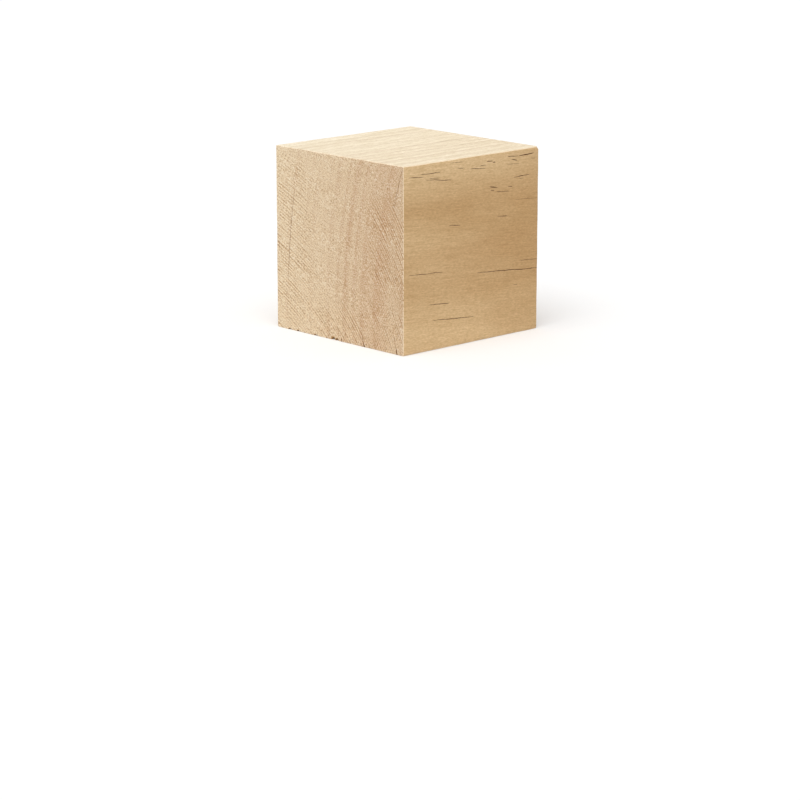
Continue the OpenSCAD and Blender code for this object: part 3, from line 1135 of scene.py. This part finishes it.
# One that would dip past the lower edge by more than this is left out
PAST_EDGE = 0.01
chance = random.Random(21)
for count, outward, on_face, up, lowest in SCATTERED:
    for i in range(count):
        start = on_face + up * (lowest + SIDE * (i + chance.uniform(*IN_STRIP)) / count)
        longest = RUNS[1] + CLEAR_OF_END
        start.x = chance.uniform(-HALF + CLEAR_OF_END, HALF - longest)
        run = chance.uniform(*RUNS)
        dip = Vector((0, 0, -math.tan(GRAIN_DIP) * run)) if outward.y else Vector()
        end = start + Vector((run, 0, 0)) + dip
        if end.z > -PAST_EDGE:
            canal(start, end, outward, chance.uniform(*WIDTHS))
bmesh.ops.recalc_face_normals(damage, faces=damage.faces[:])
leaks = sum(1 for edge in damage.edges if not edge.is_manifold)
print(f"The hollows have {len(damage.faces)} faces and {leaks} open edges")

# %% [markdown]
# ## Cutting it all from the block
# The kerfs and the hollows are taken from the block by Boolean modifiers, with the exact solver,
# because a saw mark meets the surface at a very flat angle. Each cut face keeps the finish of
# the cutter that made it, which is why the finishes were given out first. Hollows run into one
# another, so their cut also has to sort out where a cutter crosses itself. The result is one
# plain mesh, so the cube has no live modifiers.

# %% Turn the shapes into objects
def as_object(name, shape):
    """A bmesh in millimetres as an object in metres, with the list of finishes."""
    bmesh.ops.scale(shape, verts=shape.verts, vec=(MM, MM, MM))
    mesh = bpy.data.meshes.new(name)
    shape.to_mesh(mesh)
    shape.free()
    for finish in FINISHES:
        mesh.materials.append(finish)
    thing = bpy.data.objects.new(name, mesh)
    bpy.context.scene.collection.objects.link(thing)
    return thing


cube = as_object("pine_cube", block)
cutters = [
    as_object("kerf_low", kerf_low), as_object("kerf_high", kerf_high),
    as_object("damage", damage),
]
print(f"{len(cutters)} cutters for one block")

# %% Cut, and keep the result as one mesh
for cutter in cutters:
    cut = cube.modifiers.new(cutter.name, "BOOLEAN")
    cut.operation = "DIFFERENCE"
    cut.solver = "EXACT"
    cut.object = cutter
    cut.material_mode = "INDEX"
    cut.use_self = cutter.name == "damage"
finished = bpy.data.meshes.new_from_object(cube.evaluated_get(bpy.context.evaluated_depsgraph_get()))
cube.modifiers.clear()
cube.data = finished
for cutter in cutters:
    bpy.data.objects.remove(cutter)
print(f"Cut, with {len(finished.polygons)} faces")

# %% [markdown]
# ## A clean skin
# The exact solver keeps every crossing, however fine, so a cut that meets an old edge almost in
# the same place leaves slivers with no area and two vertices on one spot. A Weld modifier would
# merge those, but not the needless vertices in the middle of an edge, so the mesh is cleaned by
# operators: near vertices are merged, slivers dissolved, and then vertices with only two edges.
# The skin has to come out closed, with every edge between two faces.

# %% Weld the slivers that the cut left
# Vertices closer than this are one, in mm
WELD = 0.001
# An edge bent more than this is drawn sharp
SHARP_PAST = math.radians(35)
shape = bmesh.new()
shape.from_mesh(finished)
bmesh.ops.remove_doubles(shape, verts=shape.verts[:], dist=WELD * MM)
bmesh.ops.dissolve_degenerate(shape, edges=shape.edges[:], dist=WELD * MM)
bmesh.ops.dissolve_verts(shape, verts=[v for v in shape.verts if len(v.link_edges) == 2])
open_edges = sum(1 for edge in shape.edges if not edge.is_manifold)
print(f"{len(shape.calc_loop_triangles())} triangles, {open_edges} open edges, "
      f"{shape.calc_volume() / MM ** 3:.0f} mm3")
shape.to_mesh(finished)
shape.free()
finished.set_sharp_from_angle(angle=SHARP_PAST)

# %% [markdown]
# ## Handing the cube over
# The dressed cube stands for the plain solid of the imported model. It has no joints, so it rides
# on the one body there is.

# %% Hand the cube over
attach(cube, "root")
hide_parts("wooden_cube")
